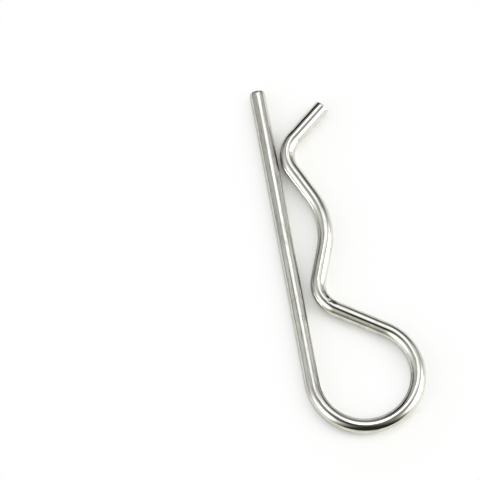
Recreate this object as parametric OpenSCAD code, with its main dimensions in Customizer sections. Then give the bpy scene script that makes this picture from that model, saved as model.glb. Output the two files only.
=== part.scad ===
// Hitch R clip pin: one length of round spring wire. A straight leg goes through a cross hole
// in a shaft, and the sprung arm beside it grips the shaft from outside.
//
// Millimetres. The origin is on the leg's axis, at the middle of the gripped shaft.
// +X runs along the leg towards the eye, +Y from the leg towards the arm, +Z is up.
// The clip lies flat: z = 0 is the middle of the wire, and the shaft's own axis is Z.

/* [Wire] */
// Diameter of the wire
wire_d = 4; // [2:0.1:5]
// How much the wire's radius grows where it is bent
bend_swell = 0.01; // [0.005:0.005:0.05]

/* [Leg] */
// From the middle of the shaft to the free end of the leg
leg_reach = 38.7; // [28:0.1:60]
// Bevel on the rim of the leg's free end
leg_bevel = 0.3; // [0.1:0.05:0.8]

/* [Eye] */
// Diameter inside the round eye
eye_d = 23.5; // [14:0.5:28]
// From the middle of the shaft to the middle of the eye
eye_from_shaft = 42.6; // [40:0.1:60]

/* [Neck] */
// Clear gap between leg and arm at the neck
neck_gap = 2.2; // [0.8:0.1:5]
// From the middle of the shaft to the middle of the neck
neck_from_shaft = 17.1; // [15.5:0.1:20]
// Radius on the inside of the neck's bend
neck_bend = 5.2; // [3:0.1:8]

/* [Seat] */
// Diameter of the shaft the clip is made for
shaft_d = 18; // [12:0.5:21]
// How far the arm springs outwards when it is on the shaft
shaft_grip = 0.2; // [0:0.05:1]
// Radius on the inside of the seat's bend
seat_bend = 16.6; // [10:0.2:22]

/* [Nose] */
// Clear gap between leg and arm at the nose
nose_gap = 0.55; // [0.2:0.05:3]
// From the middle of the shaft to the middle of the nose
nose_from_shaft = 19.2; // [17.5:0.1:26]
// Radius on the inside of the nose's bend
nose_bend = 5.2; // [3:0.1:8]

/* [Flare] */
// Angle between the leg and the flared end
flare_angle = 50.3; // [30:0.1:75]
// Straight length of the flared end
flare_length = 11.4; // [4:0.1:20]
// Bevel on the rim of the flared end
flare_bevel = 0.15; // [0.05:0.05:0.8]

/* [Hidden] */
$fn = 96;

wire_r = wire_d / 2;
bent_r = wire_r + bend_swell;
overrun = 2;  // degrees a bend is swept past its end, before it is cut off square

// Radii of the bends, on the middle of the wire
eye_r = eye_d / 2 + wire_r;
neck_r = neck_bend + wire_r;
seat_r = seat_bend + wire_r;
nose_r = nose_bend + wire_r;

// Centres of the bends
eye_at = [eye_from_shaft, eye_r];
neck_at = [neck_from_shaft, wire_d + neck_gap + neck_r];
seat_at = [0, shaft_d / 2 - shaft_grip - seat_bend];
nose_at = [-nose_from_shaft, wire_d + nose_gap + nose_r];

// Each straight crosses from one side of a bend to the other side of the next one.
// Its heading is counted anticlockwise from +X; side is 1 where it leaves an anticlockwise bend.
function heading(from, to, radii, side) =
    (atan2(to.y - from.y, to.x - from.x) + 360) % 360 + side * asin(radii / norm(to - from));
function crossing(from, to, radii) = sqrt(pow(norm(to - from), 2) - pow(radii, 2));

eye_neck_heading = heading(eye_at, neck_at, eye_r + neck_r, 1);
neck_seat_heading = heading(neck_at, seat_at, neck_r + seat_r, -1);
seat_nose_heading = heading(seat_at, nose_at, seat_r + nose_r, 1);
flare_heading = 180 - flare_angle;

eye_neck_length = crossing(eye_at, neck_at, eye_r + neck_r);
neck_seat_length = crossing(neck_at, seat_at, neck_r + seat_r);
seat_nose_length = crossing(seat_at, nose_at, seat_r + nose_r);

wire_clip();

// The whole wire, from the free end of the leg to the end of the flare
module wire_clip() {
    color("silver")
    translate([leg_bevel - leg_reach, 0, 0]) {
        mirror([1, 0, 0]) bevelled_end(leg_bevel);
        straight(leg_reach - leg_bevel + eye_from_shaft)
        bend(eye_r, eye_neck_heading)
        straight(eye_neck_length)
        bend(neck_r, neck_seat_heading - eye_neck_heading)
        straight(neck_seat_length)
        bend(seat_r, seat_nose_heading - neck_seat_heading)
        straight(seat_nose_length)
        bend(nose_r, flare_heading - seat_nose_heading)
        straight(flare_length - flare_bevel)
        bevelled_end(flare_bevel);
    }
}

// A straight run of wire along +X; whatever follows it starts at its far end
module straight(length) {
    rotate([0, 90, 0]) cylinder(r = wire_r, h = length);
    translate([length, 0, 0]) children();
}

// A bend to the left, or to the right if turn is negative; whatever follows starts at its far end
module bend(radius, turn) {
    side = sign(turn);
    mirror([0, side > 0 ? 0 : 1, 0])
    translate([0, radius, 0]) {
        difference() {
            rotate([0, 0, -90]) rotate_extrude(angle = abs(turn) + overrun)
                translate([radius, 0]) circle(r = bent_r);
            rotate([0, 0, abs(turn)]) translate([0, -radius - wire_d, -wire_d])
                cube([wire_d, 2 * wire_d, 2 * wire_d]);
        }
        rotate([0, 0, abs(turn)]) translate([0, -radius, 0])
        mirror([0, side > 0 ? 0 : 1, 0]) children();
    }
}

// The cut end of the wire with its rim taken off, pointing along +X
module bevelled_end(bevel) {
    rotate([0, 90, 0]) cylinder(r1 = wire_r, r2 = wire_r - bevel, h = bevel);
}
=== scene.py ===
"""Hitch R clip pin: one bright drawn spring wire, bent cold, that lies on a pale table.

The frame is that of the clip's solids. The origin is on the leg's axis, at the middle of the
gripped shaft. +X runs along the leg towards the eye, +Y from the leg towards the arm, +Z is up.
The clip's own sizes are in millimetres, and the scene is in metres. A place on the wire is its
distance from the free end of the leg and its angle round the section, which is 0 at the left of
the wire's heading and 90 degrees at the top.
"""

import logging
import math
from dataclasses import dataclass, field
from enum import Enum

import bpy
import numpy as np
from mathutils import Matrix, Vector


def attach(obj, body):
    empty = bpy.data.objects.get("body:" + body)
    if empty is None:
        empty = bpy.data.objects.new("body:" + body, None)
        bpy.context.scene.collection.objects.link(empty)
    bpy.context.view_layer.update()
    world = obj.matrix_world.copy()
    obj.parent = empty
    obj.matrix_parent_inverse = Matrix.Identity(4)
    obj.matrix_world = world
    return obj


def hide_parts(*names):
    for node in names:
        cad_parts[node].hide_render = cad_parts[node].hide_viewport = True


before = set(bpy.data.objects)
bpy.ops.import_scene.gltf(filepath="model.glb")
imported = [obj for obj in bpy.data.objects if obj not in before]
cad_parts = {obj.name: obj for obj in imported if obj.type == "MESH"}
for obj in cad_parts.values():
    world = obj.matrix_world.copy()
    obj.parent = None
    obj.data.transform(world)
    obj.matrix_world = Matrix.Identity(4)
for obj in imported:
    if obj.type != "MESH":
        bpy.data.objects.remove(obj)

Colour = tuple[float, float, float, float]

MM = 0.001
TURN = 2.0 * math.pi
PLACE = "wire_place"
WEAR_AND_SHADE = "wire_wear_and_shade"
log = logging.getLogger("clip")


class Side(Enum):
    """The side that a bend turns to, as one walks along the wire from the free end of the leg."""

    LEFT = 1
    RIGHT = -1


@dataclass(frozen=True)
class Bend:
    """One bend of the wire, as a circle that the wire's middle line follows.

    Attributes:
        name: What this bend is on the clip.
        centre: The circle's centre, along the leg and from the leg to the arm, in millimetres.
        radius: The circle's radius on the wire's middle line, in millimetres.
        side: The side that the wire turns to.
    """

    name: str
    centre: tuple[float, float]
    radius: float
    side: Side


@dataclass(frozen=True)
class ClipSizes:
    """The sizes of the clip, in millimetres and degrees, as its solids have them.

    Attributes:
        wire_d: Diameter of the wire.
        leg_reach: From the middle of the shaft to the free end of the leg.
        leg_bevel: Bevel on the rim of the leg's free end.
        eye_d: Diameter inside the round eye.
        eye_from_shaft: From the middle of the shaft to the middle of the eye.
        neck_gap: Clear gap between leg and arm at the neck.
        neck_from_shaft: From the middle of the shaft to the middle of the neck.
        neck_bend: Radius on the inside of the neck's bend.
        shaft_d: Diameter of the shaft that the clip is made for.
        shaft_grip: How far the arm springs outwards when it is on the shaft.
        seat_bend: Radius on the inside of the seat's bend.
        nose_gap: Clear gap between leg and arm at the nose.
        nose_from_shaft: From the middle of the shaft to the middle of the nose.
        nose_bend: Radius on the inside of the nose's bend.
        flare_angle: Angle between the leg and the flared end.
        flare_length: Straight length of the flared end.
        flare_bevel: Bevel on the rim of the flared end.
    """

    wire_d: float = 4.0
    leg_reach: float = 38.7
    leg_bevel: float = 0.3
    eye_d: float = 23.5
    eye_from_shaft: float = 42.6
    neck_gap: float = 2.2
    neck_from_shaft: float = 17.1
    neck_bend: float = 5.2
    shaft_d: float = 18.0
    shaft_grip: float = 0.2
    seat_bend: float = 16.6
    nose_gap: float = 0.55
    nose_from_shaft: float = 19.2
    nose_bend: float = 5.2
    flare_angle: float = 50.3
    flare_length: float = 11.4
    flare_bevel: float = 0.15

    @property
    def wire_r(self) -> float:
        """Radius of the wire."""
        return self.wire_d / 2

    def bends(self) -> list[Bend]:
        """The four bends, from the eye to the nose.

        Returns:
            The bends in the order in which the wire passes them.
        """
        wire, half = self.wire_d, self.wire_r
        eye, neck = self.eye_d / 2 + half, self.neck_bend + half
        seat, nose = self.seat_bend + half, self.nose_bend + half
        grip = self.shaft_d / 2 - self.shaft_grip
        return [
            Bend("eye", (self.eye_from_shaft, eye), eye, Side.LEFT),
            Bend("neck", (self.neck_from_shaft, wire + self.neck_gap + neck), neck, Side.RIGHT),
            Bend("seat", (0.0, grip - self.seat_bend), seat, Side.LEFT),
            Bend("nose", (-self.nose_from_shaft, wire + self.nose_gap + nose), nose, Side.RIGHT),
        ]


class WireRoute:
    """The wire's middle line: straights and bends laid end to end, flat in the XY plane.

    Its heading changes evenly along each bend and stays the same along each straight.

    Attributes:
        knots: Distance along the wire to the start of each stretch and to the end of the last.
        headings: The heading at each knot, in radians.
        curvatures: The curvature of each stretch, above 0 where it turns left.
        starts: The point at each knot, one row each.
    """

    def __init__(self, sizes: ClipSizes) -> None:
        """Works out where each straight and each bend ends.

        A straight touches the circles of two bends that turn opposite ways. It leaves the line
        between their centres by the angle whose sine is the sum of the radii over the distance.

        Args:
            sizes: The clip's sizes.
        """
        bends = sizes.bends()
        headings, lengths = [0.0], [sizes.leg_reach + sizes.eye_from_shaft]
        for here, there in zip(bends, bends[1:]):
            across = there.centre[0] - here.centre[0], there.centre[1] - here.centre[1]
            apart, radii = math.hypot(*across), here.radius + there.radius
            bearing = math.atan2(across[1], across[0]) % TURN
            heading = bearing + here.side.value * math.asin(radii / apart)
            lengths += [here.radius * abs(heading - headings[-1]), math.sqrt(apart**2 - radii**2)]
            headings.append(heading)
        headings.append(math.pi - math.radians(sizes.flare_angle))
        lengths += [bends[-1].radius * abs(headings[-1] - headings[-2]), sizes.flare_length]

        self.knots = np.concatenate([[0.0], np.cumsum(lengths)])
        self.headings = np.repeat(headings, 2)
        self.curvatures = np.zeros(len(lengths))
        self.curvatures[1::2] = [bend.side.value / bend.radius for bend in bends]
        self.starts = np.zeros((len(self.knots), 2))
        self.starts[0] = -sizes.leg_reach, 0.0
        for k, length in enumerate(lengths):
            self.starts[k + 1] = self.advance(np.array([k]), np.array([length]))[0]

    @property
    def length(self) -> float:
        """Length of the whole wire, in millimetres."""
        return float(self.knots[-1])

    def stretch_at(self, along: np.ndarray) -> np.ndarray:
        """The number, from 0, of the stretch that each distance along the wire falls on."""
        found = np.searchsorted(self.knots, along, side="right") - 1
        return np.clip(found, 0, len(self.curvatures) - 1)

    def advance(self, stretch: np.ndarray, gone: np.ndarray) -> np.ndarray:
        """Points at given distances into given stretches.

        On a straight the point moves along the heading. On a bend it moves by the difference of
        the sines and cosines of the headings, over the curvature.

        Args:
            stretch: Which stretch each point is on.
            gone: How far each point is into its stretch, in millimetres.

        Returns:
            The points, one row each.
        """
        curve, heading = self.curvatures[stretch], self.headings[stretch]
        bent = np.abs(curve) > 0
        safe = np.where(bent, curve, 1.0)
        turned = heading + curve * gone
        x = np.where(bent, (np.sin(turned) - np.sin(heading)) / safe, np.cos(heading) * gone)
        y = np.where(bent, (np.cos(heading) - np.cos(turned)) / safe, np.sin(heading) * gone)
        return self.starts[stretch] + np.stack([x, y], axis=-1)

    def follow(self, along: np.ndarray) -> tuple[np.ndarray, np.ndarray]:
        """The middle line at given distances from the free end of the leg.

        Args:
            along: Distances along the wire, in millimetres.

        Returns:
            The points, one row each, and the heading at each, in radians.
        """
        stretch = self.stretch_at(along)
        points = self.advance(stretch, along - self.knots[stretch])
        return points, np.interp(along, self.knots, self.headings)


class Value:
    """An output socket of a node. Its operators add the Math nodes that work out the result."""

    def __init__(self, shading: "Shading", node: bpy.types.Node, output: str | int) -> None:
        """Wraps an output of a node.

        Args:
            shading: The node tree that the node is in.
            node: The node.
            output: Name or number of the output.
        """
        self.shading, self.node, self.output = shading, node, output

    @property
    def socket(self) -> bpy.types.NodeSocket:
        """The socket itself."""
        return self.node.outputs[self.output]

    def math(self, operation: str, *others: "Value | float") -> "Value":
        """A Math node on this value.

        Args:
            operation: The Math node's operation.
            others: Its further inputs.

        Returns:
            The result.
        """
        return self.shading.math(operation, self, *others)

    def __add__(self, other: "Value | float") -> "Value":
        """This plus other."""
        return self.math("ADD", other)

    def __radd__(self, other: float) -> "Value":
        """Other plus this."""
        return self.math("ADD", other)

    def __sub__(self, other: "Value | float") -> "Value":
        """This minus other."""
        return self.math("SUBTRACT", other)

    def __rsub__(self, other: float) -> "Value":
        """Other minus this."""
        return self.shading.math("SUBTRACT", other, self)

    def __mul__(self, other: "Value | float") -> "Value":
        """This times other."""
        return self.math("MULTIPLY", other)

    def __rmul__(self, other: float) -> "Value":
        """Other times this."""
        return self.math("MULTIPLY", other)

    def __neg__(self) -> "Value":
        """This with its sign changed."""
        return self.math("MULTIPLY", -1.0)

    def exp(self) -> "Value":
        """The exponential of this."""
        return self.math("EXPONENT")

    def at_least(self, low: float) -> "Value":
        """This, or low where this is lower."""
        return self.math("MAXIMUM", low)

    def at_most(self, high: float) -> "Value":
        """This, or high where this is higher."""
        return self.math("MINIMUM", high)

    def step(self, low: float, high: float) -> "Value":
        """A smooth step from 0 to 1.

        Args:
            low: Where it starts to rise from 0.
            high: Where it reaches 1.

        Returns:
            A value from 0 to 1.
        """
        rise = {"Value": self, "From Min": low, "From Max": high}
        return self.shading.add("ShaderNodeMapRange", {"interpolation_type": "SMOOTHSTEP"}, rise)


class Shading:
    """Builds one node tree."""

    def __init__(self, tree: bpy.types.NodeTree) -> None:
        """Starts from an empty tree.

        Args:
            tree: The tree to fill.
        """
        self.tree = tree
        tree.nodes.clear()

    def add(
        self,
        kind: str,
        settings: dict[str, object] | None = None,
        inputs: dict[str | int, object] | None = None,
        output: str | int = 0,
    ) -> Value:
        """Adds a node of any kind.

        Args:
            kind: The node's type.
            settings: Its properties, which are set first.
            inputs: Its sockets, by name or number, each with a number, a colour or a Value.
            output: The output to hand back.

        Returns:
            That output.
        """
        node = self.tree.nodes.new(kind)
        for name, value in (settings or {}).items():
            setattr(node, name, value)
        for name, value in (inputs or {}).items():
            if isinstance(value, Value):
                self.tree.links.new(value.socket, node.inputs[name])
            else:
                node.inputs[name].default_value = value
        return Value(self, node, output)

    def math(self, operation: str, *values: Value | float) -> Value:
        """Adds a Math node.

        Args:
            operation: Its operation.
            values: Its inputs, in order.

        Returns:
            The result.
        """
        return self.add("ShaderNodeMath", {"operation": operation}, dict(enumerate(values)))

    def dot(self, way: Value, axis: Vector) -> Value:
        """How far a direction goes along an axis.

        Args:
            way: The direction.
            axis: The axis.

        Returns:
            Their dot product.
        """
        settings = {"operation": "DOT_PRODUCT"}
        return self.add("ShaderNodeVectorMath", settings, {0: way, 1: tuple(axis)}, "Value")

    def mix(self, share: Value, low: Value | Colour, high: Value | Colour) -> Value:
        """Mixes two colours. The Mix node takes colours at inputs 6 and 7 and gives one at output 2.

        Args:
            share: How much of the second colour there is.
            low: The first colour.
            high: The second colour.

        Returns:
            The mixed colour.
        """
        return self.add("ShaderNodeMix", {"data_type": "RGBA"}, {"Factor": share, 6: low, 7: high}, 2)


@dataclass(frozen=True)
class Streak:
    """A streak along the wire, from grit in the drawing die or a rub of a tool or the shaft, or painted
    shade.

    Attributes:
        name: Where it lies on the clip.
        start: Where it starts along the wire, in millimetres, below 0 if it runs off the end.
        end: Where it ends along the wire, in millimetres.
        first: Its angle round the section at its start, in degrees.
        last: Its angle round the section at its end, in degrees.
        width: Half of its width, in millimetres.
        wear_and_shade: How much dark residue lies in it, or for a painted streak how much painted shade.
    """

    name: str
    start: float
    end: float
    first: float
    last: float
    width: float
    wear_and_shade: float


STREAKS = [
    Streak("top of the leg", 48, 84, 103, 91, 0.15, 0.6),
    Streak("top of the leg, into the eye", 78, 97, 92, 98, 0.14, 0.7),
    Streak("inner side of the leg", -8, 22, 56, 58, 0.38, 0.34),
    Streak("inner side of the leg, past the nose", 20, 46, 64, 63, 0.28, 0.25),
    # Painted reflection: a dark line on the leg's inner flank stands in for the arm's neck reflected
    # there.
    Streak("inner flank of the leg, painted reflection of the neck", 44, 90, 33, 30, 0.22, 0.7),
    Streak("outer side of the leg", -10, 50, 118, 120, 0.35, 0.3),
    Streak("run to the neck", 128, 153, 113, 117, 0.16, 0.7),
    Streak("run to the nose", 178, 200, 114, 117, 0.36, 0.75),
    # Painted reflection: these darken the inner flanks of the seat and eye, where the steel reflects the
    # shaded table inside the clip. They also make the metal rougher and shallowly grooved there.
    Streak("inner side of the seat, painted reflected shade", 158, 178, 38, 34, 0.14, 0.4),
    Streak("inside the eye, rub darkened as painted reflected shade", 74, 128, 24, 24, 0.75, 0.75),
    Streak("inside the seat, rub darkened as painted reflected shade", 152, 180, 12, 12, 0.6, 0.65),
    # Painted shade: dark lines along the underside, where the wire lies on the table in its own shade.
    Streak("painted shade under the leg", 12, 77, 236, 241, 0.15, 0.5),
    Streak("painted shade under the eye", 88, 131, 287, 280, 0.15, 0.5),
    Streak("painted shade under the arm", 140, 205, 251, 262, 0.15, 0.5),
]


@dataclass(frozen=True)
class Grain:
    """A noise pattern on the wire, and the marks that its high places leave.

    Attributes:
        scale: How many spots lie in a millimetre across the wire.
        detail: How many finer layers the noise has.
        low: The noise at which a mark starts to show.
        high: The noise at which a mark is full.
        share: How strong a full mark is.
        stretch: How many times longer than wide a spot is, along the wire.
    """

    scale: float
    detail: float
    low: float
    high: float
    share: float
    stretch: float = 1.0

    def noise(self, shading: Shading, place: Value) -> Value:
        """The pattern.

        Args:
            shading: The node tree to add it to.
            place: Each point's place on the unbent wire, in millimetres.

        Returns:
            The noise, from 0 to 1.
        """
        shrunk = {"Vector": place, "Scale": (1.0 / self.stretch, 1.0, 1.0)}
        drawn_out = shading.add("ShaderNodeMapping", {}, shrunk)
        spots = {"Vector": drawn_out, "Scale": self.scale, "Detail": self.detail}
        return shading.add("ShaderNodeTexNoise", {}, spots)

    def full(self, noise: Value) -> Value:
        """How full the marks of the noise are, from 0 to 1."""
        return noise.step(self.low, self.high)


@dataclass(frozen=True)
class DrawnSteel:
    """The finish of bright drawn spring wire, with fine drawing marks along its length.

    Attributes:
        pale: Colour of the clean metal.
        dull: Colour where a thin film lies on it.
        residue: Colour of what is left in scratches and on sheared metal, and of painted shade.
        grooves: The drawing grooves.
        film: The thin film.
        pits: Small pits.
        scores: Short score marks.
        fade: The share of a streak's length over which each of its ends fades.
        on_ridges: How dark a full streak is on the ridges between the grooves.
        in_grooves: How much darker it is in the deepest groove.
        roughness: Roughness of the clean metal.
        smoothest: The least roughness that any place has.
        uneven: How much the film and the grooves change the roughness.
        scratched: How much rougher a full streak is.
        depth: Depth of the grooves, in metres.
        cut: Depth of a full streak, as a share of that of the grooves.
    """

    pale: Colour = (0.81, 0.81, 0.768, 1.0)
    dull: Colour = (0.69, 0.69, 0.64, 1.0)
    # Also the colour of the painted shade in the streaks and dents marked as painted.
    residue: Colour = (0.10, 0.10, 0.085, 1.0)
    grooves: Grain = Grain(scale=1.8, detail=1.0, low=0.5, high=0.66, share=0.5, stretch=70.0)
    film: Grain = Grain(scale=0.22, detail=4.0, low=0.42, high=0.72, share=0.7)
    pits: Grain = Grain(scale=2.6, detail=2.0, low=0.66, high=0.78, share=0.25)
    scores: Grain = Grain(scale=3.2, detail=2.0, low=0.5, high=0.72, share=0.3, stretch=9.0)
    fade: float = 0.18
    on_ridges: float = 0.55
    in_grooves: float = 0.9
    roughness: float = 0.045
    smoothest: float = 0.03
    uneven: float = 0.05
    scratched: float = 0.3
    depth: float = 0.000015
    cut: float = 0.5

    def wear_and_shade(self, shading: Shading, place: Value, wire_r: float) -> Value:
        """The dark residue in the dents, at the cut ends and in the streaks, and painted shade in some.

        A streak is a bell-shaped curve of the way round the section from its middle, which moves
        evenly from its first angle to its last. It fades smoothly at both ends.

        Args:
            shading: The node tree to add it to.
            place: Each point's place on the unbent wire, in millimetres.
            wire_r: Radius of the wire, in millimetres.

        Returns:
            The residue and painted shade, from 0 to 1.
        """
        along, left, up = (
            shading.add("ShaderNodeSeparateXYZ", {}, {"Vector": place}, axis) for axis in "XYZ"
        )
        around = up.math("ARCTAN2", left)
        found = shading.add("ShaderNodeAttribute", {"attribute_name": WEAR_AND_SHADE}, output="Fac")
        for streak in STREAKS:
            length = streak.end - streak.start
            share = ((along - streak.start) * (1.0 / length)).at_least(0.0).at_most(1.0)
            middle = math.radians(streak.first) + share * math.radians(streak.last - streak.first)
            off = (around - middle).math("WRAP", math.pi, -math.pi) * (wire_r / streak.width)
            faded = self.fade * length
            begun = along.step(streak.start, streak.start + faded)
            ended = along.step(streak.end - faded, streak.end)
            found = found + (-(off * off)).exp() * (begun * (1.0 - ended)) * streak.wear_and_shade
        return found.at_most(1.0)

    def material(self, wire_r: float) -> bpy.types.Material:
        """Builds the finish. It reads each point's place on the unbent wire, in millimetres.

        Args:
            wire_r: Radius of the wire, in millimetres.

        Returns:
            The material.
        """
        made = bpy.data.materials.new("drawn_steel")
        made.use_nodes = True
        shading = Shading(made.node_tree)
        place = shading.add("ShaderNodeAttribute", {"attribute_name": PLACE}, output="Vector")
        grooves = self.grooves.noise(shading, place)
        filmed = self.film.full(self.film.noise(shading, place))
        pitted = self.pits.full(self.pits.noise(shading, place))
        scored = self.scores.full(self.scores.noise(shading, place))
        wear_and_shade = self.wear_and_shade(shading, place, wire_r)

        hazed = filmed * self.film.share + self.grooves.full(grooves) * self.grooves.share
        clean = shading.mix(hazed.at_most(1.0), self.pale, self.dull)
        soot = pitted * self.pits.share + scored * self.scores.share
        dark = wear_and_shade * (self.on_ridges + grooves * self.in_grooves) + soot
        colour = shading.mix(dark.at_most(1.0), clean, self.residue)

        height = 1.0 - grooves - wear_and_shade * self.cut
        relief = {"Strength": 1.0, "Distance": self.depth, "Height": height}
        rough = self.roughness + (filmed + grooves - 0.5) * self.uneven + wear_and_shade * self.scratched
        surface = {
            "Base Color": colour,
            "Metallic": 1.0,
            "Roughness": rough.at_least(self.smoothest),
            "Normal": shading.add("ShaderNodeBump", {}, relief, "Normal"),
        }
        steel = shading.add("ShaderNodeBsdfPrincipled", {}, surface)
        shading.add("ShaderNodeOutputMaterial", {}, {"Surface": steel})
        return made


@dataclass(frozen=True)
class Dent:
    """A small hollow in the wire, where a bending tool pressed it or the clip rubs on itself.

    Attributes:
        name: Where it lies on the clip.
        along: Its middle along the wire, in millimetres.
        around: Its middle round the section, in degrees.
        length: How far along the wire it reaches from its middle, in millimetres.
        width: How far round the section it reaches from its middle, in millimetres.
        depth: Its depth, in millimetres.
        wear_and_shade: Its dark residue, or painted shade for the dents marked so. Above 1, the fully
            dark part is wider.
    """

    name: str
    along: float
    around: float
    length: float
    width: float
    depth: float
    wear_and_shade: float


DENTS = [
    Dent("neck, edge of the pin", 153.2, 116, 0.7, 0.36, 0.1, 2.6),
    Dent("neck, lip behind the edge", 154.5, 105, 0.35, 0.4, 0.13, 0.0),
    Dent("neck, first rub", 156.0, 122, 0.7, 0.5, 0.06, 0.5),
    Dent("neck, second rub", 157.6, 118, 0.8, 0.45, 0.06, 0.45),
    Dent("neck, inner side", 157.2, 168, 1.6, 0.9, 0.06, 0.3),
    Dent("nose, first rub", 199.7, 122, 0.5, 0.4, 0.05, 0.3),
    Dent("nose, second rub", 201.3, 128, 0.7, 0.45, 0.06, 0.35),
    Dent("nose, inner side", 200.6, 170, 1.5, 0.9, 0.06, 0.3),
    # Painted shade: these two darken the leg and the nose where they face each other across the narrow
    # gap; the hollows themselves are shallow.
    Dent("leg, facing the nose, painted shade", 19.0, 32, 3.0, 0.45, 0.02, 1.5),
    Dent("nose, facing the leg, painted shade", 197.0, 14, 2.2, 0.8, 0.02, 0.5),
    Dent("run to the neck, nick", 142.0, 60, 0.4, 0.3, 0.008, 0.0),
    Dent("eye, back of the former", 98.0, 15, 1.2, 0.8, 0.04, 0.2),
    Dent("eye, clamp", 84.0, 200, 1.4, 0.9, 0.05, 0.25),
    Dent("seat, inner side", 168.5, 8, 1.3, 0.8, 0.04, 0.2),
]


@dataclass(frozen=True)
class ShearedEnd:
    """A cut end of the wire: a smooth half that the blade pressed, and a torn half below a step.

    Attributes:
        bevel: Size of the bevel round the end, in millimetres.
        shoulder: How far from the end the wire starts to draw in, in millimetres.
        turn: Which way the blade went, in degrees round the section.
        soiled: How much dark residue lies on the rim.
        soiled_for: How far from the end the residue reaches, in millimetres.
        step: How far the torn half lies behind the smooth half, in millimetres.
        step_at: Where the step is across the face, from the middle, in millimetres.
        slope: Width of the step's slope, in millimetres.
        wander: How far the step's edge waves to each side, in millimetres.
        wavy: How fast it waves across the face, in radians per millimetre.
        torn: Height of the torn half's waves, in millimetres.
        ripples: How fast they go down, slantwise and across the face, in radians per millimetre.
        shift: How far the waves across the face are shifted, in radians.
        rings: Rings of points from the rim to the middle of the face.
        hub: Size of the innermost ring, as a share of the rim's.
        rim: Width of the zone at the rim over which the face sinks, as a share of the radius.
    """

    bevel: float
    shoulder: float
    turn: float
    soiled: float
    soiled_for: float
    step: float = 0.09
    step_at: float = -0.15
    slope: float = 0.35
    wander: float = 0.12
    wavy: float = 3.1
    torn: float = 0.025
    ripples: tuple[float, float, float] = (7.0, 2.0, 5.3)
    shift: float = 1.0
    rings: int = 14
    hub: float = 0.06
    rim: float = 0.125

    def drawn_in(self, away: np.ndarray) -> np.ndarray:
        """What comes off the radius near the end.

        The profile is a quarter of an ellipse, as long as the shoulder and as high as the bevel.

        Args:
            away: Distances from the end, in millimetres.

        Returns:
            The lost radius at each distance, in millimetres.
        """
        left_over = np.clip(1.0 - away / self.shoulder, 0.0, 1.0)
        return self.bevel * (1.0 - np.sqrt(1.0 - left_over**2))

    def wear_and_shade(self, away: np.ndarray) -> np.ndarray:
        """The dark residue at given distances from the end, as half of a bell-shaped curve."""
        return self.soiled * np.exp(-((away / self.soiled_for) ** 2))

    def behind(self, left: np.ndarray, up: np.ndarray) -> np.ndarray:
        """How far the face lies behind the wire's end.

        The step is a smooth rise across the face along the blade's way, and its edge follows a
        sine. The waves on the torn half are a product of two sines, set between 0 and 1.

        Args:
            left: Places to the left of the heading, in millimetres.
            up: Places above the middle line, in millimetres.

        Returns:
            Distances behind the end, in millimetres.
        """
        angle = math.radians(self.turn)
        down = left * math.cos(angle) + up * math.sin(angle)
        side = up * math.cos(angle) - left * math.sin(angle)
        edge = self.step_at - self.wander * np.sin(self.wavy * side)
        past = np.clip((down - edge) / self.slope + 0.5, 0.0, 1.0)
        rise = past * past * (3.0 - 2.0 * past)
        downwards, slantwise, across = self.ripples
        product = np.sin(downwards * down + slantwise * side) * np.sin(across * side + self.shift)
        return rise * (self.step + self.torn * (0.5 + 0.5 * product))

    def face(self, left: np.ndarray, up: np.ndarray, where: float, inward: float) -> np.ndarray:
        """The rings of the cut face, from its rim to near its middle.

        Each ring is the rim shrunk evenly, and lies behind the end as the cut says.

        Args:
            left: Places of the rim to the left of the heading, in millimetres.
            up: Places of the rim above the middle line, in millimetres.
            where: The end's distance along the wire, in millimetres.
            inward: 1 where the wire goes on to greater distances, and -1 where it ends.

        Returns:
            Each point's distance along the wire, to the left and up, one row per ring.
        """
        share = np.linspace(1.0, self.hub, self.rings)[:, None]
        sunk = np.clip((1.0 - share) / self.rim, 0.0, 1.0)
        across, high = share * left, share * up
        return np.stack([where + inward * sunk * self.behind(across, high), across, high], axis=-1)


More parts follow.
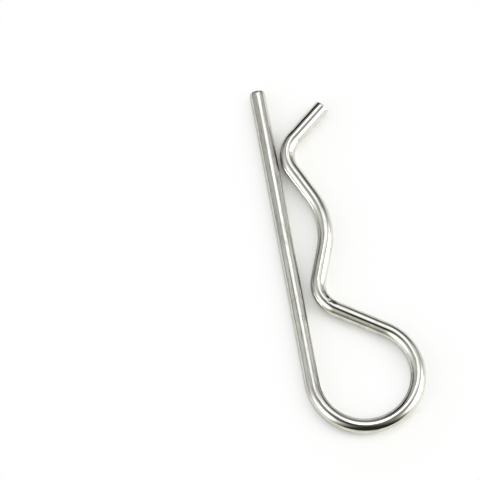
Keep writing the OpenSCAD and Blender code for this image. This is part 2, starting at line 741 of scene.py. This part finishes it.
@dataclass
class BentWire:
    """The whole clip: one round wire swept along its route.

    Attributes:
        sizes: The clip's sizes.
        finish: Its finish.
        sides: Points round each section.
        bend_step: Distance between two sections on a bend, in millimetres.
        straight_step: Distance between two sections on a straight, in millimetres.
        dent_rings: Sections over each dent.
        dent_span: How far they reach from its middle, as a multiple of its length.
        end_rings: Sections over the shoulder of each cut end.
        crowded: The power by which they crowd towards the end.
        flattened: How much the outer side of the tightest bend is pulled flat, in millimetres.
        eased: How far into a bend the wire goes before it is fully flattened, in millimetres.
        face_wear: How much dark residue lies on the cut faces.
    """

    sizes: ClipSizes = field(default_factory=ClipSizes)
    finish: DrawnSteel = field(default_factory=DrawnSteel)
    sides: int = 128
    bend_step: float = 0.3
    straight_step: float = 1.5
    dent_rings: int = 17
    dent_span: float = 2.5
    end_rings: int = 13
    crowded: float = 1.6
    flattened: float = 0.05
    eased: float = 2.0
    face_wear: float = 0.3

    def __post_init__(self) -> None:
        """Works out the wire's route and its two cut ends."""
        leg, flare = self.sizes.leg_bevel, self.sizes.flare_bevel
        self.route = WireRoute(self.sizes)
        self.leg_end = ShearedEnd(leg, shoulder=1.2, turn=205.0, soiled=0.25, soiled_for=0.4)
        self.flare_end = ShearedEnd(flare, shoulder=0.5, turn=80.0, soiled=0.15, soiled_for=0.35)

    def sections(self) -> np.ndarray:
        """Distances of the sections along the wire, to a thousandth of a millimetre.

        Each bend and each straight is divided evenly. Sections stand closer together on the
        shoulders of the cut ends and over each dent.

        Returns:
            The distances in rising order, in millimetres.
        """
        route = self.route
        steps = np.where(np.abs(route.curvatures) > 0, self.bend_step, self.straight_step)
        counts = np.ceil(np.diff(route.knots) / steps).astype(int) + 1
        parts = [np.linspace(*span) for span in zip(route.knots, route.knots[1:], counts)]
        over = np.linspace(-self.dent_span, self.dent_span, self.dent_rings)
        parts += [over * dent.length + dent.along for dent in DENTS]
        shares = np.linspace(0.0, 1.0, self.end_rings) ** self.crowded
        parts += [self.leg_end.shoulder * shares, route.length - self.flare_end.shoulder * shares]
        return np.unique(np.round(np.concatenate(parts), 3).clip(0.0, route.length))

    def radius(self, along: np.ndarray, around: np.ndarray) -> tuple[np.ndarray, np.ndarray]:
        """The radius of the wire and the dark residue and painted shade on it.

        The wire draws in at each cut end. On a bend its outer side is pulled flat by the square
        of the cosine of the angle from the bend's outside, the more the tighter the bend. A dent
        is a bell-shaped curve both along the wire and round it.

        Args:
            along: Distances along the wire, in millimetres, as a column.
            around: Angles round the section, in radians, as a row.

        Returns:
            The radius and the residue and painted shade at each point, as grids.
        """
        route, sizes = self.route, self.sizes
        left_to_go = route.length - along
        stretch = route.stretch_at(along)
        curve = route.curvatures[stretch]
        into = np.minimum(along - route.knots[stretch], route.knots[stretch + 1] - along)
        tightness = np.abs(curve) * (sizes.neck_bend + sizes.wire_r)
        pull = self.flattened * tightness * np.clip(into / self.eased, 0.0, 1.0)
        outer = np.maximum(-np.cos(around) * np.sign(curve), 0.0) ** 2

        drawn_in = self.leg_end.drawn_in(along) + self.flare_end.drawn_in(left_to_go)
        radius = sizes.wire_r - drawn_in - pull * outer
        wear_and_shade = self.leg_end.wear_and_shade(along) + self.flare_end.wear_and_shade(left_to_go)
        for dent in DENTS:
            off = np.angle(np.exp(1j * (around - math.radians(dent.around)))) * sizes.wire_r
            past = along - dent.along
            hollow = np.exp(-((past / dent.length) ** 2) - (off / dent.width) ** 2)
            radius = radius - dent.depth * hollow
            wear_and_shade = wear_and_shade + dent.wear_and_shade * hollow
        return np.minimum(radius, sizes.wire_r), np.clip(wear_and_shade, 0.0, 1.0)

    def unbent(self) -> tuple[np.ndarray, np.ndarray]:
        """The surface of the wire as if it were straight.

        Each point lies off the middle line by the radius, turned round the section from the left
        of the heading towards +Z. The rings of the cut faces come before and after.

        Returns:
            Each point's distance along the wire, to the left and up, and the residue and painted
            shade at each point, as grids with one row per ring.
        """
        along = self.sections()[:, None]
        around = np.arange(self.sides)[None, :] * (TURN / self.sides)
        radius, wear_and_shade = self.radius(along, around)
        left, up = radius * np.cos(around), radius * np.sin(around)
        wall = np.stack([np.broadcast_to(along, radius.shape), left, up], axis=-1)
        near = self.leg_end.face(left[0], up[0], 0.0, 1.0)[:0:-1]
        far = self.flare_end.face(left[-1], up[-1], self.route.length, -1.0)[1:]
        places = np.concatenate([near, wall, far])
        residue = np.full(places.shape[:2], self.face_wear)
        residue[len(near) : len(near) + len(wall)] = wear_and_shade
        return places, residue

    def bent(self, places: np.ndarray) -> np.ndarray:
        """Bends points of the straight wire along its route.

        A point goes to the middle line at its distance along the wire, then across the heading
        by its place to the left, and keeps its height.

        Args:
            places: Each point's distance along the wire, to the left and up, in millimetres.

        Returns:
            The points, one row each, in metres.
        """
        points, heading = self.route.follow(places[:, 0])
        x = points[:, 0] - places[:, 1] * np.sin(heading)
        y = points[:, 1] + places[:, 1] * np.cos(heading)
        return np.stack([x, y, places[:, 2]], axis=-1) * MM

    def faces(self, rings: int) -> list[list[int]]:
        """The faces of the surface, which all point outwards.

        Four-sided faces lie between each ring and the next. A fan of triangles closes each end,
        round the two points that come after those of the rings.

        Args:
            rings: How many rings of points there are.

        Returns:
            The numbers of each face's corners.
        """
        index = np.arange(rings * self.sides).reshape(rings, self.sides)
        beside = np.roll(index, -1, axis=1)
        walls = np.stack([index[:-1], beside[:-1], beside[1:], index[1:]], axis=-1).reshape(-1, 4)
        tips = np.full(self.sides, rings * self.sides)
        first = np.stack([tips, beside[0], index[0]], axis=-1)
        last = np.stack([tips + 1, index[-1], beside[-1]], axis=-1)
        return walls.tolist() + first.tolist() + last.tolist()

    def build(self) -> bpy.types.Object:
        """Builds the wire's surface, with each point's unbent place, its residue and its painted shade.

        Returns:
            The wire as a mesh object.
        """
        rings, wear_and_shade = self.unbent()
        tips = np.stack([rings[0].mean(axis=0), rings[-1].mean(axis=0)])
        places = np.concatenate([rings.reshape(-1, 3), tips])
        wear_and_shade = np.append(wear_and_shade.ravel(), [self.face_wear] * len(tips))
        mesh = bpy.data.meshes.new("clip_wire")
        mesh.from_pydata(self.bent(places).tolist(), [], self.faces(len(rings)))
        mesh.polygons.foreach_set("use_smooth", np.ones(len(mesh.polygons), dtype=bool))
        spots = mesh.attributes.new(PLACE, "FLOAT_VECTOR", "POINT")
        spots.data.foreach_set("vector", places.astype(np.float32).ravel())
        worn_and_shaded = mesh.attributes.new(WEAR_AND_SHADE, "FLOAT", "POINT")
        worn_and_shaded.data.foreach_set("value", wear_and_shade.astype(np.float32))
        mesh.update()
        piece = bpy.data.objects.new("clip_wire", mesh)
        bpy.context.scene.collection.objects.link(piece)
        return piece

    def dress(self, piece: bpy.types.Object) -> None:
        """Gives the wire its finish and ties it to the solids.

        Args:
            piece: The wire's mesh object.
        """
        piece.data.materials.append(self.finish.material(self.sizes.wire_r))
        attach(piece, "root")
        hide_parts("wire_clip")


@dataclass(frozen=True)
class View:
    """Where the viewer stands: nearly above the clip, with a long lens.

    Attributes:
        turn: How far the leg is turned in the view, in degrees.
        lean: How far the camera leans from straight above, to the side of the eye, in degrees.
        distance: From the camera to the table, in metres.
        span: Width of the table that the picture takes in, in metres.
        target: The point at the middle of the picture, in metres.
        sensor: Width of the camera's sensor, in millimetres.
    """

    turn: float = 10.04
    lean: float = 20.0
    distance: float = 4.0
    span: float = 0.12379
    target: tuple[float, float, float] = (0.00039, -0.01138, 0.0)
    sensor: float = 36.0

    @property
    def right(self) -> Vector:
        """The view's right, flat on the table."""
        return Vector((math.sin(math.radians(self.turn)), math.cos(math.radians(self.turn)), 0.0))

    @property
    def away(self) -> Vector:
        """The view's far side, flat on the table."""
        return Vector((-math.cos(math.radians(self.turn)), math.sin(math.radians(self.turn)), 0.0))

    def towards(self, azimuth: float, zenith: float) -> Vector:
        """The direction to a place on the tent.

        Args:
            azimuth: Degrees anticlockwise from the right of the view.
            zenith: Degrees from straight up.

        Returns:
            A vector of length 1.
        """
        around, down = math.radians(azimuth), math.radians(zenith)
        flat = self.right * math.cos(around) + self.away * math.sin(around)
        return flat * math.sin(down) + Vector((0.0, 0.0, math.cos(down)))

    def place_camera(self) -> None:
        """Sets up the camera."""
        lean, straight_up = math.radians(self.lean), Vector((0.0, 0.0, 1.0))
        back = math.cos(lean) * straight_up - math.sin(lean) * self.away
        up = math.cos(lean) * self.away + math.sin(lean) * straight_up
        data = bpy.data.cameras.new("camera")
        data.sensor_width = self.sensor
        data.lens = self.sensor * self.distance / self.span
        camera = bpy.data.objects.new("camera", data)
        bpy.context.scene.collection.objects.link(camera)
        turned = Matrix((self.right, up, back)).transposed().to_4x4()
        camera.matrix_world = Matrix.Translation(Vector(self.target) + back * self.distance) @ turned
        bpy.context.scene.camera = camera


@dataclass(frozen=True)
class WhiteTable:
    """The pale table under the clip, which looks plain white to the lens where it lies open.

    Attributes:
        half: Half of its width, in metres.
        top: Height of its top, in metres.
        colour: Its colour under the light.
        roughness: Its roughness.
        gloss: Its specular level.
        shown: Share of plain white in the open table, as the lens sees it.
        reach: How far from the wire the table still loses some of that share, in metres.
        opening: Azimuth and zenith of the middle of the sky that counts as open, in degrees.
        loss: The power of the open part of that sky that the share goes with.
        samples: Rays that test how open a point is.
        mirrored: Share of plain white in the table, as the steel shows it.
    """

    half: float = 4.0
    top: float = -0.00201
    colour: Colour = (0.95, 0.945, 0.905, 1.0)
    roughness: float = 0.5
    gloss: float = 0.2
    shown: float = 0.985
    reach: float = 0.012
    opening: tuple[float, float] = (142.0, 28.0)
    loss: float = 1.3
    samples: int = 16
    mirrored: float = 0.1

    def material(self, view: View) -> bpy.types.Material:
        """Builds the finish: a matt white, mixed with plain white light where the table is open.

        Args:
            view: The view, from which the open sky's place is counted.

        Returns:
            The material.
        """
        made = bpy.data.materials.new("white_table")
        made.use_nodes = True
        shading = Shading(made.node_tree)
        matt = {"Base Color": self.colour, "Roughness": self.roughness, "Specular IOR Level": self.gloss}
        white = shading.add("ShaderNodeBsdfPrincipled", {}, matt)
        plain = shading.add("ShaderNodeEmission", {}, {"Color": (1.0, 1.0, 1.0, 1.0), "Strength": 1.0})
        sky = shading.add("ShaderNodeCombineXYZ", {}, dict(zip("XYZ", view.towards(*self.opening))))
        nearby = {"Distance": self.reach, "Normal": sky}
        # Painted shade: the plain white glow is cut back where an occlusion test leaning towards the
        # opening finds the wire near, so the table darkens beside the wire, more on one side.
        openness = shading.add("ShaderNodeAmbientOcclusion", {"samples": self.samples}, nearby, "AO")
        lens = shading.add("ShaderNodeLightPath", output="Is Camera Ray")
        steel = shading.add("ShaderNodeLightPath", output="Is Glossy Ray")
        share = lens * openness.math("POWER", self.loss) * self.shown + steel * self.mirrored
        both = shading.add("ShaderNodeMixShader", {}, {0: share, 1: white, 2: plain})
        shading.add("ShaderNodeOutputMaterial", {}, {"Surface": both})
        return made

    def lay(self, view: View) -> None:
        """Lays the table under the clip.

        Args:
            view: The view.
        """
        corners = [(-1, -1), (1, -1), (1, 1), (-1, 1)]
        points = [(x * self.half, y * self.half, self.top) for x, y in corners]
        mesh = bpy.data.meshes.new("table")
        mesh.from_pydata(points, [], [(0, 1, 2, 3)])
        mesh.materials.append(self.material(view))
        table = bpy.data.objects.new("table", mesh)
        bpy.context.scene.collection.objects.link(table)


@dataclass(frozen=True)
class Glow:
    """One soft patch of light on the tent, or of shade where its strength is below 0.

    Attributes:
        name: What the patch stands for.
        azimuth: Where it is round the table, in degrees anticlockwise from the right of the view.
        zenith: How far it is from straight up, in degrees.
        width: How far from its middle it has fallen to about a third, in degrees.
        strength: Its light at its middle.
    """

    name: str
    azimuth: float
    zenith: float
    width: float
    strength: float


GLOWS = [
    Glow("right lamp", 359, 61, 16, 12),
    Glow("left lamp", 211, 54.5, 19, 2.2),
    Glow("top sheet, far fold", 104, 26, 6, 3.1),
    Glow("top sheet, right side", 63.5, 33.5, 15, 2.35),
    Glow("top sheet, right fold", 60, 35, 6.5, -1.3),
    Glow("top sheet, right shade", 58.5, 46.5, 33, -0.95),
    Glow("right wall, far end", 55, 60, 15, 0.9),
    Glow("right wall, far corner", 58, 78, 10, -1.05),
    Glow("top hole", 82, 8.5, 4.5, 4.0),
    Glow("top sheet, near side", 278, 9.5, 12.5, 1.15),
    Glow("top sheet, near shade", 261, 10.5, 18.5, -1.35),
    Glow("left wall, far corner", 116, 68.5, 11.5, -0.95),
    Glow("left wall, foot", 143, 106, 26, -1.7),
]


@dataclass(frozen=True)
class Slot:
    """The dark opening of the tent on the viewer's side, a wedge that widens towards the table.

    Attributes:
        azimuth: Where its middle is, in degrees as for a patch of light.
        half: Half of the wedge's angle, seen from straight above, in degrees.
        back: How far the wedge's tip is from straight up, towards the viewer.
        soft: Width of its blurred edge to each side.
        level: How much of the tent's light is left in it.
        tint: Colour of the room behind it.
    """

    azimuth: float = 280.0
    half: float = 61.5
    back: float = 0.25
    soft: float = 0.7
    level: float = 0.05
    tint: Colour = (1.0, 0.975, 0.78, 1.0)

    def inside(self, shading: Shading, way: Value, view: View) -> Value:
        """Where the wedge is, with soft edges.

        A direction is in the wedge where its part towards the viewer, counted from the tip, times
        the wedge's slope is more than its part across.

        Args:
            shading: The node tree to add it to.
            way: The direction from the clip.
            view: The view.

        Returns:
            A value that is 1 in the wedge and 0 outside it.
        """
        ahead = shading.dot(way, view.towards(self.azimuth, 90.0)) - self.back
        across = shading.dot(way, view.towards(self.azimuth + 90.0, 90.0)).math("ABSOLUTE")
        return (ahead * math.tan(math.radians(self.half)) - across).step(-self.soft, self.soft)


@dataclass(frozen=True)
class Tent:
    """The white tent round the table, which is lit from outside. The lens sees it plain white.

    Attributes:
        base: Its light away from its patches.
        least: The least light that any place of it has, outside the slot.
        most: The most light that any place of it has.
        cloth: Its colour.
        slot: Its opening.
    """

    base: float = 0.63
    least: float = 0.02
    most: float = 12.0
    cloth: Colour = (1.0, 1.0, 0.99, 1.0)
    slot: Slot = field(default_factory=Slot)

    def light(self, view: View) -> None:
        """Lights the tent.

        Each patch is an exponential of the cosine of the angle from its middle.

        Args:
            view: The view, from which the places on the tent are counted.
        """
        world = bpy.data.worlds.new("tent")
        bpy.context.scene.world = world
        world.use_nodes = True
        shading = Shading(world.node_tree)
        way = shading.add("ShaderNodeTexCoord", output="Generated")
        level: Value | float = self.base
        for glow in GLOWS:
            near = shading.dot(way, view.towards(glow.azimuth, glow.zenith))
            tight = 1.0 / (1.0 - math.cos(math.radians(glow.width)))
            level = ((near - 1.0) * tight).exp() * glow.strength + level
        level = level.at_least(self.least).at_most(self.most)

        inside = self.slot.inside(shading, way, view)
        level = level * (1.0 - inside * (1.0 - self.slot.level))
        lens = shading.add("ShaderNodeLightPath", output="Is Camera Ray")
        tint = shading.mix(inside * (1.0 - lens), self.cloth, self.slot.tint)
        strength = level + lens * (1.0 - level)
        shown = shading.add("ShaderNodeBackground", {}, {"Color": tint, "Strength": strength})
        shading.add("ShaderNodeOutputWorld", {}, {"Surface": shown})


def main() -> None:
    """Builds the clip, the camera, the table and the light."""
    logging.basicConfig(level=logging.INFO, format="%(name)s: %(message)s")
    scene = bpy.context.scene
    scene.view_settings.view_transform = "Standard"
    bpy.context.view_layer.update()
    wire = BentWire()
    piece = wire.build()
    wire.dress(piece)
    log.info("%s: %.1f mm of wire, %d faces", piece.name, wire.route.length, len(piece.data.polygons))
    view = View()
    view.place_camera()
    WhiteTable().lay(view)
    Tent().light(view)


if __name__ == "__main__":
    main()
